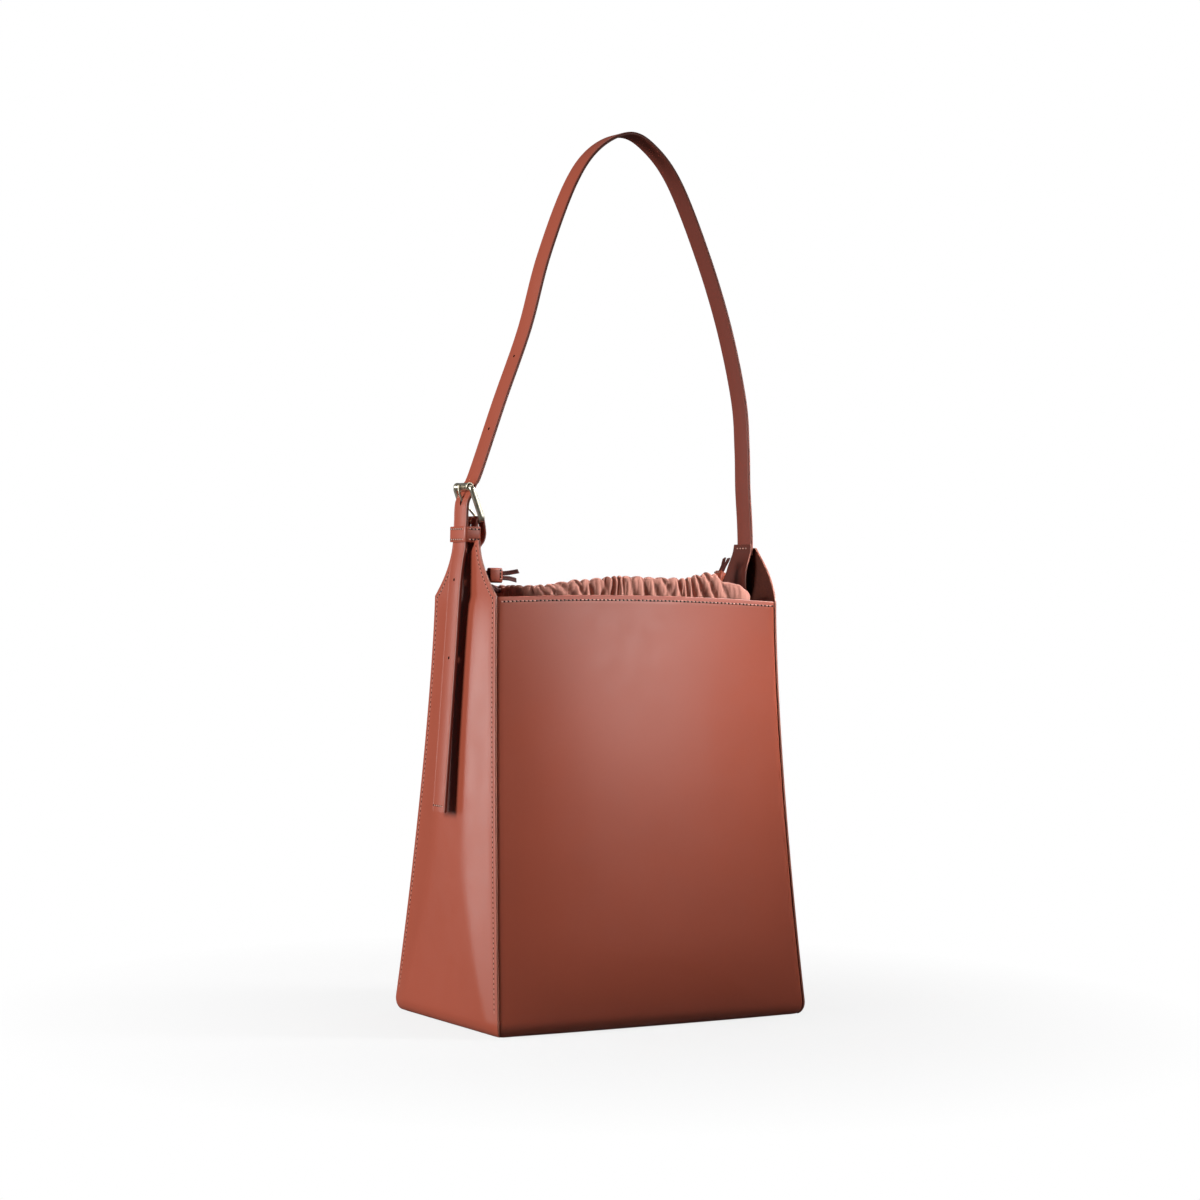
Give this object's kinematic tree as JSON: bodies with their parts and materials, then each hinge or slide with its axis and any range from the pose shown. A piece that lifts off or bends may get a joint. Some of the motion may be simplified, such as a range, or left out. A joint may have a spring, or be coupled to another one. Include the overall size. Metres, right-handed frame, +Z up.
{
  "type": "bucket bag",
  "caption": "Tall leather bucket bag with flared gussets, a gathered drawstring pouch inside, and an adjustable shoulder strap with a roller buckle, a keeper and a free tail.",
  "frame": {"origin": "centre of the flat base, on the surface the bag stands on", "axes": "+Z up through the shoulder strap, X along the width with the buckle on the -X side, front face towards -Y"},
  "size_m": [0.281, 0.1566, 0.6732],
  "materials": {
    "leather": "smooth semi-gloss red-brown leather with painted edges",
    "leather_inside": "darker matt flesh side and facings",
    "pouch_cloth": "dusty pink plain-woven cotton, gathered",
    "drawcord": "dark round leather lace",
    "brass": "polished pale brass",
    "stiffener": "pressed fibre board"
  },
  "bodies": {
    "bag": {"front_panel": "leather", "back_panel": "leather", "left_gusset": "leather", "right_gusset": "leather", "front_top_facing": "leather_inside", "back_top_facing": "leather_inside", "left_tab_facing": "leather_inside", "right_tab_leaf": "leather_inside", "base_panel": "leather", "base_board": "stiffener", "pouch": "pouch_cloth", "pouch_hem": "pouch_cloth", "drawcord_left_upper": "drawcord", "drawcord_left_lower": "drawcord", "drawcord_right_front": "drawcord", "drawcord_right_back": "drawcord"},
    "strap": {"shoulder_strap": "leather", "buckle_loop": "leather"},
    "buckle": {"buckle_frame": "brass"},
    "roller": {"buckle_roller": "brass"},
    "prong": {"buckle_prong": "brass"},
    "keeper_band": {"keeper": "leather"},
    "tail": {"strap_tail": "leather"},
    "left_slider": {"slider_left": "leather"},
    "right_slider": {"slider_right": "leather"}
  },
  "joints": [
    {"name": "strap_swing", "type": "hinge", "parent": "bag", "child": "strap", "pos_m": [0, 0, 0.362], "axis": [1, 0, 0], "range_deg": [-60, 60], "stiffness_Nm_per_rad": 0.35},
    {"name": "buckle_tilt", "type": "hinge", "parent": "strap", "child": "buckle", "pos_m": [-0.118, 0, 0.372], "axis": [0, 1, 0], "range_deg": [-3, 0]},
    {"name": "roller_spin", "type": "hinge", "parent": "buckle", "child": "roller", "pos_m": [-0.128, 0, 0.397], "axis": [0, 1, 0], "continuous": true},
    {"name": "prong_pivot", "type": "hinge", "parent": "buckle", "child": "prong", "pos_m": [-0.118, 0, 0.372], "axis": [0, 1, 0], "range_deg": [-2, 0]},
    {"name": "keeper_slide", "type": "slide", "parent": "strap", "child": "keeper_band", "axis": [0, 0, 1], "range_m": [-0.002, 0]},
    {"name": "tail_swing", "type": "hinge", "parent": "strap", "child": "tail", "pos_m": [-0.1312, 0, 0.3527], "axis": [0, 1, 0], "range_deg": [0, 60]},
    {"name": "left_slider_slide", "type": "slide", "parent": "bag", "child": "left_slider", "axis": [1, 0, 0], "range_m": [0, 0.005]},
    {"name": "right_slider_slide", "type": "slide", "parent": "bag", "child": "right_slider", "axis": [0.4617, 0, 0.887], "range_m": [0, 0.004]}
  ]
}
